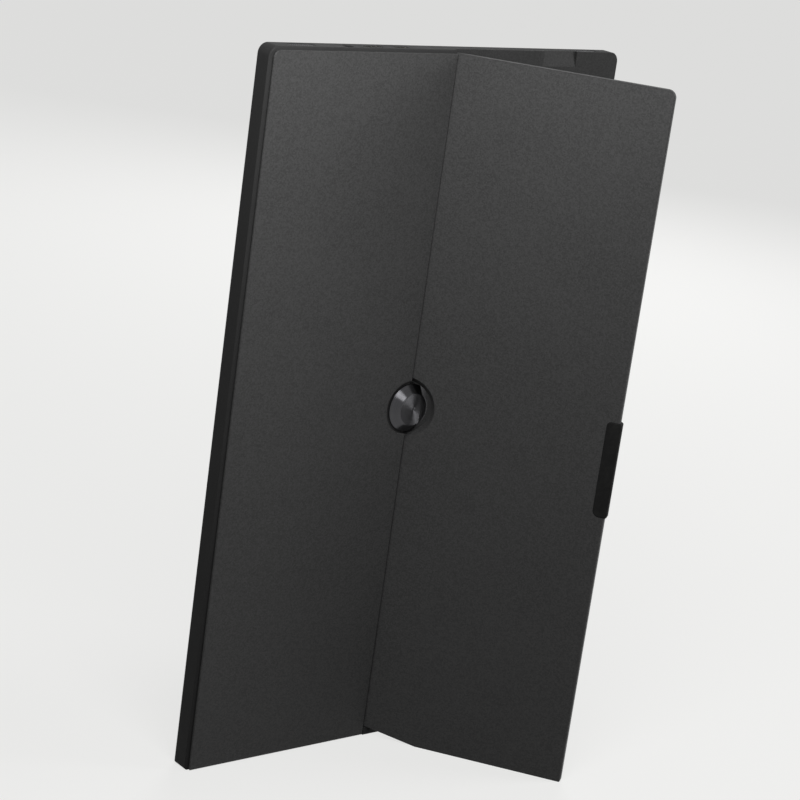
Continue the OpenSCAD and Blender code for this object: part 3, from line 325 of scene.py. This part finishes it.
def polymer_film(name, base, light, rough):
    """Cast or drawn polymer, smooth with a slight cloudiness."""
    material, tree, point = new_material(name)
    # Cloudiness about 8 mm across, and the casting's ripple of 0.8 mm
    cloud = add_node(tree, "ShaderNodeTexNoise", None, {
        "Vector": point, "Scale": 1 / 8, "Detail": 3.0}).outputs[0]
    ripple = add_node(tree, "ShaderNodeTexNoise", None, {
        "Vector": point, "Scale": 1 / 0.8, "Detail": 2.0}).outputs[0]
    colour = add_node(tree, "ShaderNodeMix", {"data_type": "RGBA"}, {
        0: cloud, 6: linear(base), 7: linear(light)}).outputs[2]
    gloss = add_node(tree, "ShaderNodeMapRange", None, {
        "Value": cloud, "From Min": 0.3, "From Max": 0.7,
        "To Min": rough, "To Max": rough + 0.08}).outputs[0]
    skin = add_node(tree, "ShaderNodeBump", None, {
        "Strength": 0.3, "Distance": 0.01 * MM, "Height": ripple}).outputs[0]
    return finish_surface(material, tree, {
        "Base Color": colour, "IOR": 1.5, "Roughness": gloss, "Normal": skin})


def lacquered_mesh():
    """Punched steel under a thin black lacquer, a little duller where the coat is thick."""
    material, tree, point = new_material("punched_steel_lacquered")
    # The lacquer has run into drops about 0.9 mm across
    drip = add_node(tree, "ShaderNodeTexNoise", None, {
        "Vector": point, "Scale": 1 / 0.9, "Detail": 2.0}).outputs[0]
    colour = add_node(tree, "ShaderNodeMix", {"data_type": "RGBA"}, {
        0: drip, 6: linear("#2c2c2e"), 7: linear("#404042")}).outputs[2]
    gloss = add_node(tree, "ShaderNodeMapRange", None, {
        "Value": drip, "From Min": 0.3, "From Max": 0.7,
        "To Min": 0.38, "To Max": 0.5}).outputs[0]
    skin = add_node(tree, "ShaderNodeBump", None, {
        "Strength": 0.4, "Distance": 0.02 * MM, "Height": drip}).outputs[0]
    return finish_surface(material, tree, {
        "Base Color": colour, "Metallic": 0.2, "Specular IOR Level": 0.2,
        "Roughness": gloss, "Normal": skin})


# The surfaces in use, each made from a dark and a light shade of its colour
panel_paint = charcoal_paint("metallic_paint_on_panel", "#3e3e3e", "#575757", PANEL_GRIP)
flap_paint = charcoal_paint("metallic_paint_on_flap", "#3e3e3e", "#575757", FLAP_GRIP)
# The recess's paint is the panel's paint in darker shades: painted shade for the recess
# floor
recess_paint_with_painted_shade = charcoal_paint("metallic_paint_on_recess_darkened_as_painted_shade", "#2f2f2f", "#424242", RECESS_GRIP)
case_plastic = moulded_abs("abs_moulded_charcoal", "#333333", "#404040")
liner_plastic = moulded_abs("abs_moulded_black", "#262627", "#343436", 0.8)
button_plastic = moulded_abs("abs_moulded_button", "#2a2a2b", "#3a3a3c", 0.4, (0.4, 0.5))
package_epoxy = moulded_abs("epoxy_moulded_package", "#121213", "#1e1e20", 0.3, (0.45, 0.6))
magnet_plate = rolled_metal("nickel_plated_magnet", "#8d8c88", "#b6b4ae", 0.25, (0.4, 0.4))
sheet_steel = rolled_metal("stainless_sheet_rolled", "#85878a", "#b3b5b8", 0.34)
turned_steel = rolled_metal("steel_screw_turned", "#5b5c5f", "#8c8e91", 0.3, (0.2, 0.2))
plated_shell = rolled_metal("nickel_plated_shell", "#a5a39e", "#d4d2cc", 0.22, (0.3, 1.5))
gold_contact = rolled_metal("gold_plated_contact", "#b08a3e", "#dcb868", 0.25, (0.2, 1.0))
rubber = silicone_rubber()
cap_metal = spun_aluminium()
screen = screen_glass()
board = masked_board()
mesh_steel = lacquered_mesh()
white_film = polymer_film("polyester_diffuser_film", "#c9cbca", "#dfe1e0", 0.45)
guide_plastic = polymer_film("acrylic_light_guide", "#c4cccd", "#dbe2e3", 0.1)
amber_film = polymer_film("polyimide_flex_film", "#6b3b12", "#8d5520", 0.3)
lens_plastic = polymer_film("polycarbonate_lens", "#b9c6d2", "#d3dde6", 0.2)

FINISH = {
    "chassis": case_plastic, "front_bezel": case_plastic, "lcd_cell": screen,
    "diffuser_sheets": white_film, "light_guide": guide_plastic, "led_bar": board,
    "backlight_tray": sheet_steel, "rear_panel": panel_paint, "recess_cover": recess_paint_with_painted_shade,
    "hinge_cap": cap_metal, "cap_seat": liner_plastic, "cap_screw": turned_steel,
    "main_board": board, "board_chips": package_epoxy, "shield_can": sheet_steel,
    "board_connector": package_epoxy, "board_screws": turned_steel,
    "usb_c_socket": plated_shell, "mini_hdmi_socket": plated_shell,
    "audio_jack": package_epoxy, "speaker_thick_side": package_epoxy,
    "speaker_flap_side": package_epoxy, "speaker_meshes": mesh_steel, "driver_board": board,
    "panel_flexes": amber_film, "display_ribbon": amber_film, "button_board": board,
    "tact_switches": sheet_steel, "status_lens": lens_plastic, "keeper_plates": sheet_steel,
    "hinge_bracket_upper": sheet_steel, "hinge_bracket_lower": sheet_steel,
    "bracket_screws": turned_steel, "flap_shell": flap_paint, "flap_liner": liner_plastic,
    "flap_foot": rubber, "flap_magnets": magnet_plate, "hinge_arm_upper": sheet_steel,
    "hinge_arm_lower": sheet_steel, "hinge_pin_upper": turned_steel,
    "hinge_pin_lower": turned_steel, "arm_screws": turned_steel,
    "power_button": button_plastic, "menu_button": button_plastic,
}
for node_name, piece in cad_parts.items():
    piece.data.materials.clear()
    piece.data.materials.append(FINISH[node_name])


# Making pieces

def start_piece(name):
    """Names the primitive just added, and puts its place and turn into its mesh."""
    piece = bpy.context.active_object
    piece.name = name
    bpy.ops.object.transform_apply(location=True, rotation=True, scale=True)
    return piece


def pick(mesh, kind, wanted):
    """In edit mode, selects the edges or faces whose corners all pass the test."""
    bpy.ops.mesh.select_mode(type=kind)
    bpy.ops.mesh.select_all(action="DESELECT")
    shape = bmesh.from_edit_mesh(mesh)
    for part in shape.edges if kind == "EDGE" else shape.faces:
        part.select_set(all(wanted(corner.co) for corner in part.verts))
    bmesh.update_edit_mesh(mesh)


def finish_piece(piece, body, material):
    """Merges the mesh's doubles, turns its faces outwards, and gives the piece its surface
    and its body."""
    bpy.ops.object.mode_set(mode="EDIT")
    bpy.ops.mesh.select_all(action="SELECT")
    bpy.ops.mesh.remove_doubles(threshold=SAME_POINT)
    bpy.ops.mesh.normals_make_consistent(inside=False)
    bpy.ops.object.mode_set(mode="OBJECT")
    bpy.ops.object.shade_smooth_by_angle(angle=SHARP_FROM)
    piece.data.materials.append(material)
    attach(piece, body)


def contact_row(name, first, size, pitch, count):
    """A row of plated contacts on a socket's tongue, each with a sloping tip that the plug
    slides on to. The first one's middle is given."""
    bpy.ops.object.select_all(action="DESELECT")
    bpy.ops.mesh.primitive_cube_add(size=1, location=first, scale=size)
    row = start_piece(name)
    tip = first[2] + size[2] / 2 - NEAR
    bpy.ops.object.mode_set(mode="EDIT")
    pick(row.data, "EDGE", lambda corner: corner.z > tip)
    # Just short of half the contact's thickness
    bpy.ops.mesh.bevel(offset=size[1] * 0.45, segments=2)
    bpy.ops.object.mode_set(mode="OBJECT")
    repeat = row.modifiers.new("repeat", "ARRAY")
    repeat.use_relative_offset = False
    repeat.use_constant_offset = True
    repeat.constant_offset_displace = (pitch, 0, 0)
    repeat.count = count
    bpy.ops.object.modifier_apply(modifier="repeat")
    finish_piece(row, "monitor", gold_contact)


def turned_ring(name, middle, steps, body, material):
    """A ring turned about an upright line: each step is a radius and a height, and the
    last meets the first."""
    radius, height = steps[0]
    bpy.ops.object.select_all(action="DESELECT")
    bpy.ops.mesh.primitive_circle_add(vertices=64, radius=radius,
                                      location=(middle[0], middle[1], height))
    ring = start_piece(name)
    bpy.ops.object.mode_set(mode="EDIT")
    bpy.ops.mesh.select_all(action="SELECT")
    for next_radius, next_height in steps[1:] + steps[:1]:
        bpy.ops.mesh.extrude_region_move(
            TRANSFORM_OT_translate={"value": (0, 0, next_height - height)})
        grow = next_radius / radius
        bpy.ops.transform.resize(value=(grow, grow, 1),
                                 center_override=(middle[0], middle[1], next_height))
        radius, height = next_radius, next_height
    bpy.ops.object.mode_set(mode="OBJECT")
    finish_piece(ring, body, material)


def rest_bumper(name, across, height):
    """A silicone bumper on the recess floor that the closed flap rests on: a low disc with
    a rounded rim and a slightly raised middle."""
    radius, thickness = 3 * MM, 0.16 * MM
    rounding, margin, raised = 0.1 * MM, 0.6 * MM, 0.05 * MM
    bpy.ops.object.select_all(action="DESELECT")
    bpy.ops.mesh.primitive_cylinder_add(
        vertices=48, radius=radius, depth=thickness, rotation=(math.radians(-90), 0, 0),
        location=(across, RECESS_LEVEL + thickness / 2, height))
    bumper = start_piece(name)
    face_level = RECESS_LEVEL + thickness - NEAR
    bpy.ops.object.mode_set(mode="EDIT")
    pick(bumper.data, "EDGE", lambda corner: corner.y > face_level)
    bpy.ops.mesh.bevel(offset=rounding, segments=3)
    pick(bumper.data, "FACE", lambda corner: corner.y > face_level)
    bpy.ops.mesh.inset(thickness=margin)
    bpy.ops.transform.translate(value=(0, raised, 0))
    bpy.ops.object.mode_set(mode="OBJECT")
    finish_piece(bumper, "monitor", rubber)


# Small pieces that the solids leave out

# Contacts: name, the socket's middle, then in millimetres how far off it the first one
# stands, its width and the pitch, and last their number
CONTACTS = [
    ("usb_contacts_screen_side", DATA_SOCKET_PLACE, (-2.75, -0.38), 0.25, 0.5, 12),
    ("usb_contacts_back_side", DATA_SOCKET_PLACE, (-2.75, 0.38), 0.25, 0.5, 12),
    ("hdmi_contacts", DISPLAY_SOCKET_PLACE, (-3.6, 0.1), 0.35, 0.8, 10),
]
CONTACT_THICKNESS = 0.06 * MM
CONTACT_LENGTH = 3 * MM
# From the sockets' open end down to the contacts' middle
CONTACT_DEPTH = 3 * MM
for name, (x, y), (off_x, off_y), width, pitch, count in CONTACTS:
    contact_row(name, (x + off_x * MM, y + off_y * MM, SOCKET_END - CONTACT_DEPTH),
                (width * MM, CONTACT_THICKNESS, CONTACT_LENGTH), pitch * MM, count)

# The collar's section: radius, and depth below the sockets' open end, in millimetres
COLLAR = ((1.88, 0.58), (1.88, 0.5), (1.95, 0.4), (2.15, 0.4), (2.2, 0.48), (2.12, 0.58))
turned_ring("jack_collar", SOUND_SOCKET_PLACE,
            [(radius * MM, SOCKET_END - depth * MM) for radius, depth in COLLAR],
            "monitor", package_epoxy)

BUMPER_ACROSS = -98 * MM
rest_bumper("recess_bumper_lower", BUMPER_ACROSS, 60 * MM)
rest_bumper("recess_bumper_upper", BUMPER_ACROSS, 300 * MM)


# Stage, lamps and camera

def swap_when_looked_at(tree, unseen, shown):
    """Gives the light that falls on the object one shader, and what the camera sees,
    directly, mirrored or through glass, another."""
    ray = add_node(tree, "ShaderNodeLightPath")
    mirrored = add_node(tree, "ShaderNodeMath", {"operation": "MAXIMUM"}, {
        0: ray.outputs["Is Glossy Ray"], 1: ray.outputs["Is Transmission Ray"]}).outputs[0]
    looked_at = add_node(tree, "ShaderNodeMath", {"operation": "MAXIMUM"}, {
        0: ray.outputs["Is Camera Ray"], 1: mirrored}).outputs[0]
    return add_node(tree, "ShaderNodeMixShader", None, {
        0: looked_at, 1: unseen.outputs[0], 2: shown.outputs[0]})


FLOOR_WIDTH = 30
bpy.ops.object.select_all(action="DESELECT")
bpy.ops.mesh.primitive_plane_add(size=FLOOR_WIDTH, location=(0, 0, 0))
floor = bpy.context.active_object
floor.name = "studio_floor"

# The floor looks evenly pale, keeps the shadow, and throws little light back
floor_paint = bpy.data.materials.new("pale_studio_floor")
floor_paint.use_nodes = True
tree = floor_paint.node_tree
tree.nodes.clear()
dim = add_node(tree, "ShaderNodeBsdfDiffuse", None, {"Color": linear("#6a6a6a")})
lit = add_node(tree, "ShaderNodeBsdfDiffuse", None, {"Color": linear("#7c7c7b")})
even = add_node(tree, "ShaderNodeEmission", None, {
    "Color": linear("#dbdbda"), "Strength": 1.0})
pale = add_node(tree, "ShaderNodeAddShader", None, {0: lit.outputs[0], 1: even.outputs[0]})
add_node(tree, "ShaderNodeOutputMaterial", None, {
    "Surface": swap_when_looked_at(tree, dim, pale).outputs[0]})
floor.data.materials.append(floor_paint)

# The backdrop is as pale as the floor, and its own light on the object is faint
world = bpy.data.worlds.new("studio_world")
bpy.context.scene.world = world
world.use_nodes = True
tree = world.node_tree
tree.nodes.clear()
ambient = add_node(tree, "ShaderNodeBackground", None, {
    "Color": linear("#d6d6d6"), "Strength": 0.1})
backdrop = add_node(tree, "ShaderNodeBackground", None, {
    "Color": linear("#dedede"), "Strength": 1.0})
add_node(tree, "ShaderNodeOutputWorld", None, {
    "Surface": swap_when_looked_at(tree, ambient, backdrop).outputs[0]})

# Soft round lamps: name, place, the point they face, width, power in watts, and whether
# gloss mirrors them. The screen's lamp, mirrored, would wash out the side with the sockets
# in the photograph's view.
LAMPS = [
    ("panel_lamp", (0.2, 0.22, 0.5), (0.08, 0.0, 0.38), 0.25, 1.3, True),
    ("flap_lamp", (-0.9, 0.5, 0.7), (0.0, 0.02, 0.18), 0.5, 5.2, True),
    ("cap_lamp", (-0.284, 0.41, 0.1), (0.0, 0.0, 0.18), 0.08, 0.12, True),
    ("screen_lamp", (-0.95, -0.95, 0.8), (-0.02, 0.02, 0.18), 0.8, 10, False),
]
for name, place, aim, width, power, mirrored in LAMPS:
    lamp = bpy.data.lights.new(name, "AREA")
    lamp.shape = "DISK"
    lamp.size = width
    lamp.energy = power
    holder = bpy.data.objects.new(name, lamp)
    bpy.context.scene.collection.objects.link(holder)
    holder.visible_camera = False
    holder.visible_glossy = mirrored
    holder.location = place
    towards = Vector(aim) - Vector(place)
    holder.rotation_euler = towards.to_track_quat("-Z", "Y").to_euler()

# The camera that fits the photograph's straight edges: place, turn in degrees, and lens
# and sensor in millimetres
CAMERA_PLACE = (0.7313, 0.8529, 0.5127)
CAMERA_TURN = (73.444, -7.679, 141.72)
LENS = 105.02
SENSOR_WIDTH = 36
camera_data = bpy.data.cameras.new("photo_camera")
camera_data.lens = LENS
camera_data.sensor_width = SENSOR_WIDTH
camera = bpy.data.objects.new("photo_camera", camera_data)
bpy.context.scene.collection.objects.link(camera)
camera.location = CAMERA_PLACE
camera.rotation_euler = [math.radians(angle) for angle in CAMERA_TURN]
bpy.context.scene.camera = camera
bpy.context.scene.view_settings.view_transform = "Standard"
